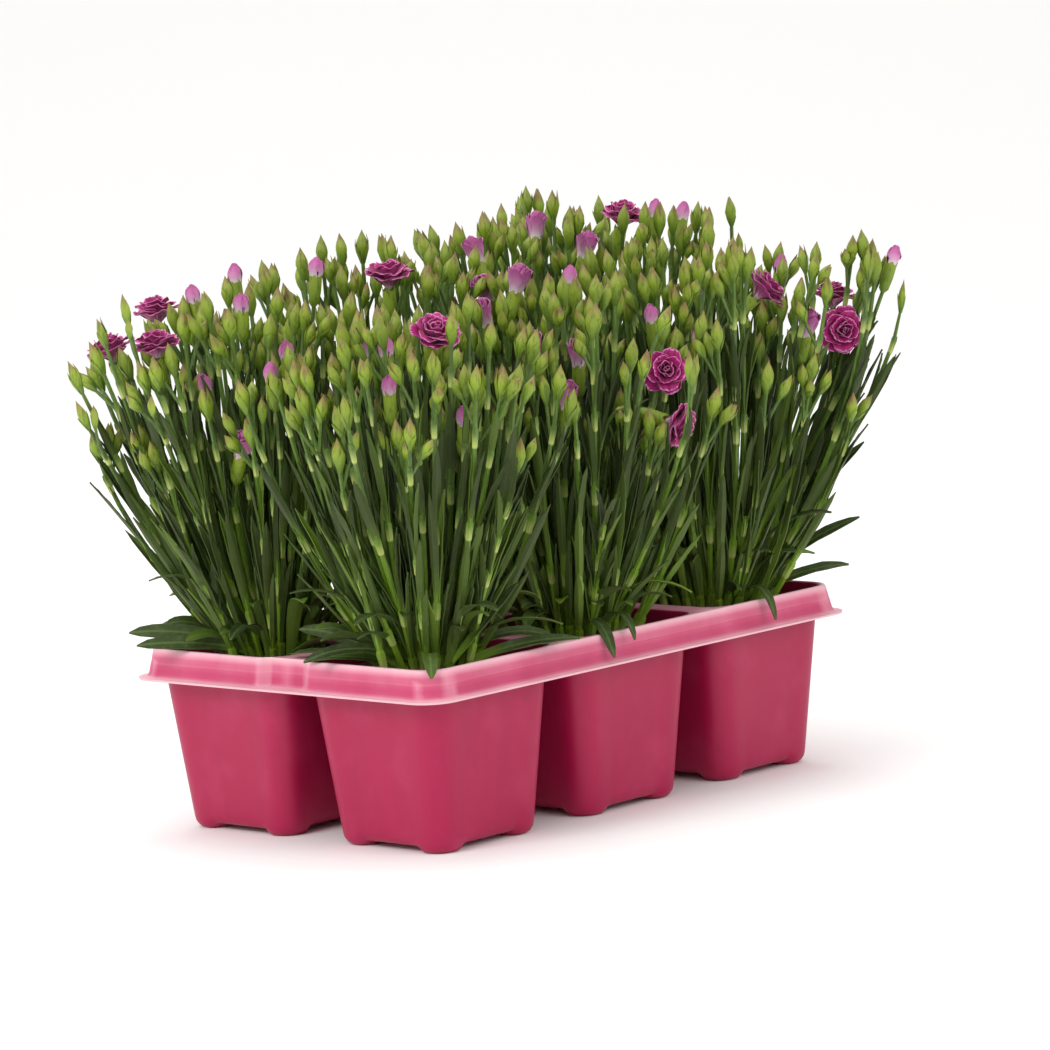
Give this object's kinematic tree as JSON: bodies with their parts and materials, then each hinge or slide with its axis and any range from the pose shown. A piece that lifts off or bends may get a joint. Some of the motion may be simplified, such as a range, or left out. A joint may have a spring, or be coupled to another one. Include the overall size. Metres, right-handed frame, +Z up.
{
  "type": "dianthus plants in a joined pot tray",
  "caption": "Double-flowered dianthus plants in bud and bloom, rooted in the soil of a joined tray of square moulded plastic pots.",
  "frame": {"origin": "on the surface that the pots stand on, under the middle of the whole plant's box", "axes": "+Z up; X along the tray's long side; Y along its short side"},
  "size_m": [0.334, 0.239, 0.2694],
  "materials": {
    "pot_plastic": "thermoformed plastic sheet, raspberry pink, satin",
    "peat_soil": "moist crumbly peat",
    "green_parts": "waxy grey-green leaves and stems with yellow-green nodes and buds",
    "open_petals": "velvety magenta petals with pale toothed edges",
    "petal_backs": "pale mauve outsides of rolled petals, white at the claw"
  },
  "bodies": {
    "root": {"tray": "pot_plastic", "soil_1": "peat_soil", "plant_1": "green_parts", "open_bloom_08": "open_petals", "half_bloom_08": "petal_backs", "opening_bud_05": "petal_backs", "opening_bud_16": "petal_backs", "opening_bud_19": "petal_backs", "soil_2": "peat_soil", "plant_2": "green_parts", "open_bloom_01": "open_petals", "open_bloom_02": "open_petals", "half_bloom_01": "petal_backs", "half_bloom_02": "petal_backs", "half_bloom_03": "petal_backs", "half_bloom_06": "petal_backs", "half_bloom_12": "petal_backs", "opening_bud_06": "petal_backs", "opening_bud_09": "petal_backs", "soil_3": "peat_soil", "plant_3": "green_parts", "open_bloom_03": "open_petals", "open_bloom_04": "open_petals", "open_bloom_05": "open_petals", "half_bloom_11": "petal_backs", "opening_bud_07": "petal_backs", "opening_bud_08": "petal_backs", "opening_bud_10": "petal_backs", "opening_bud_13": "petal_backs", "opening_bud_14": "petal_backs", "soil_4": "peat_soil", "plant_4": "green_parts", "open_bloom_09": "open_petals", "open_bloom_10": "open_petals", "open_bloom_11": "open_petals", "half_bloom_09": "petal_backs", "opening_bud_01": "petal_backs", "opening_bud_02": "petal_backs", "opening_bud_03": "petal_backs", "opening_bud_04": "petal_backs", "opening_bud_15": "petal_backs", "opening_bud_17": "petal_backs", "opening_bud_18": "petal_backs", "soil_5": "peat_soil", "plant_5": "green_parts", "open_bloom_07": "open_petals", "half_bloom_04": "petal_backs", "half_bloom_05": "petal_backs", "soil_6": "peat_soil", "plant_6": "green_parts", "open_bloom_06": "open_petals", "half_bloom_07": "petal_backs", "half_bloom_10": "petal_backs", "opening_bud_11": "petal_backs", "opening_bud_12": "petal_backs"}
  },
  "joints": []
}
